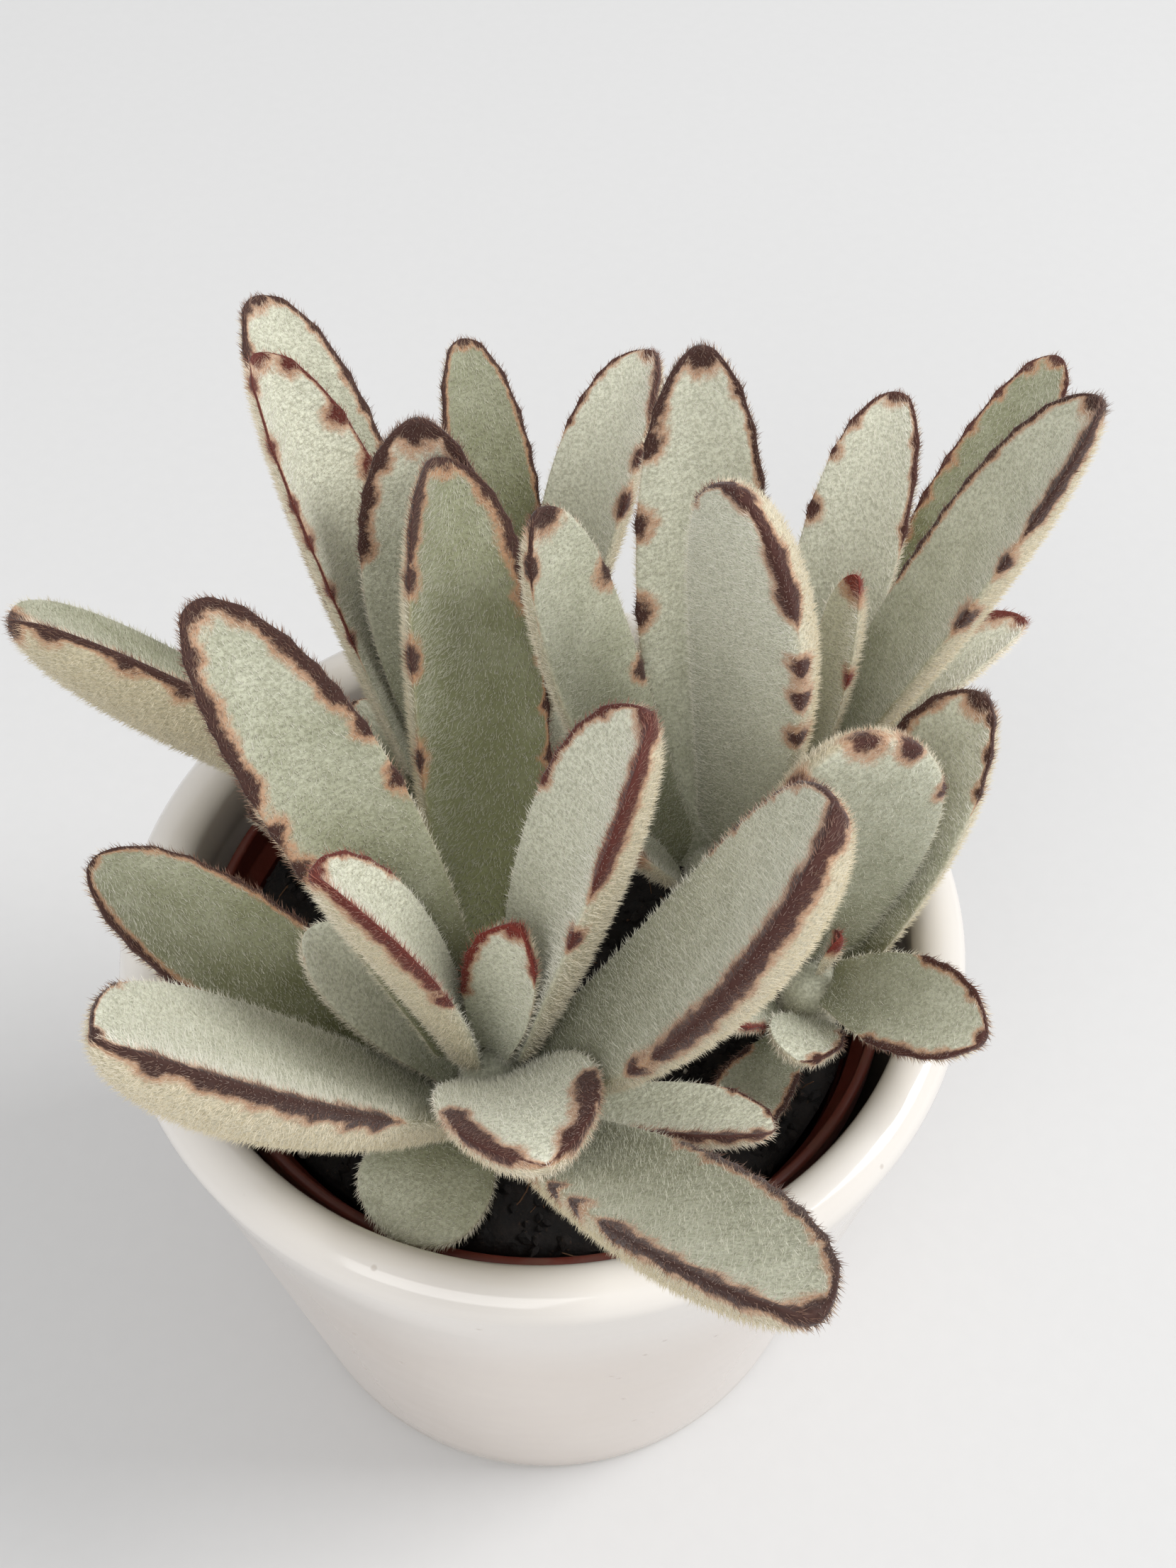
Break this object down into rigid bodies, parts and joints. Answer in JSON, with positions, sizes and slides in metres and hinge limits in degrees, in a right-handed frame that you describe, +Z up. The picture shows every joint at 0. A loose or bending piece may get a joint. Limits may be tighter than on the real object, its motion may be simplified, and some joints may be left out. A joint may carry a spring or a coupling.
{
  "type": "potted kalanchoe",
  "caption": "Felted panda plant with upright rosettes of thick, dark-edged leaves in a plastic nursery pot, standing loose in a white glazed tapered cover pot.",
  "frame": {"origin": "middle of the cover pot's flat foot, on the surface it stands on", "axes": "+Z up; +X to the right and +Y away from the side with the lowest leaves"},
  "size_m": [0.1307, 0.1357, 0.1645],
  "materials": {
    "white_glaze": "smooth white gloss glaze",
    "nursery_plastic": "thin terracotta brown plastic, satin",
    "peat_soil": "dark loose peat mix with fibres and grit",
    "stem_felt": "pale green stem with short white hairs",
    "leaf_felt": "grey green felt of short white hairs, brown to rust red teeth and edge marks"
  },
  "bodies": {
    "root": {"cover_pot": "white_glaze", "leaf_back_1": "leaf_felt", "leaf_back_2": "leaf_felt", "leaf_back_3": "leaf_felt", "leaf_back_4": "leaf_felt", "leaf_back_5": "leaf_felt", "leaf_front_1": "leaf_felt", "leaf_front_10": "leaf_felt", "leaf_front_11": "leaf_felt", "leaf_front_12": "leaf_felt", "leaf_front_13": "leaf_felt", "leaf_front_14": "leaf_felt", "leaf_front_2": "leaf_felt", "leaf_front_3": "leaf_felt", "leaf_front_4": "leaf_felt", "leaf_front_5": "leaf_felt", "leaf_front_6": "leaf_felt", "leaf_front_7": "leaf_felt", "leaf_front_8": "leaf_felt", "leaf_front_9": "leaf_felt", "leaf_left_1": "leaf_felt", "leaf_left_2": "leaf_felt", "leaf_left_3": "leaf_felt", "leaf_left_4": "leaf_felt", "leaf_left_5": "leaf_felt", "leaf_left_6": "leaf_felt", "leaf_middle_1": "leaf_felt", "leaf_middle_2": "leaf_felt", "leaf_middle_3": "leaf_felt", "leaf_middle_4": "leaf_felt", "leaf_right_1": "leaf_felt", "leaf_right_2": "leaf_felt", "leaf_right_3": "leaf_felt", "leaf_right_4": "leaf_felt", "leaf_right_5": "leaf_felt", "leaf_right_6": "leaf_felt", "leaf_small_1": "leaf_felt", "leaf_small_2": "leaf_felt", "leaf_small_3": "leaf_felt", "leaf_small_4": "leaf_felt", "leaf_small_5": "leaf_felt", "leaf_small_6": "leaf_felt", "leaf_small_7": "leaf_felt", "nursery_pot": "nursery_plastic", "soil": "peat_soil", "stem_back": "stem_felt", "stem_front": "stem_felt", "stem_left": "stem_felt", "stem_middle": "stem_felt", "stem_right": "stem_felt", "stem_small": "stem_felt"}
  },
  "joints": []
}
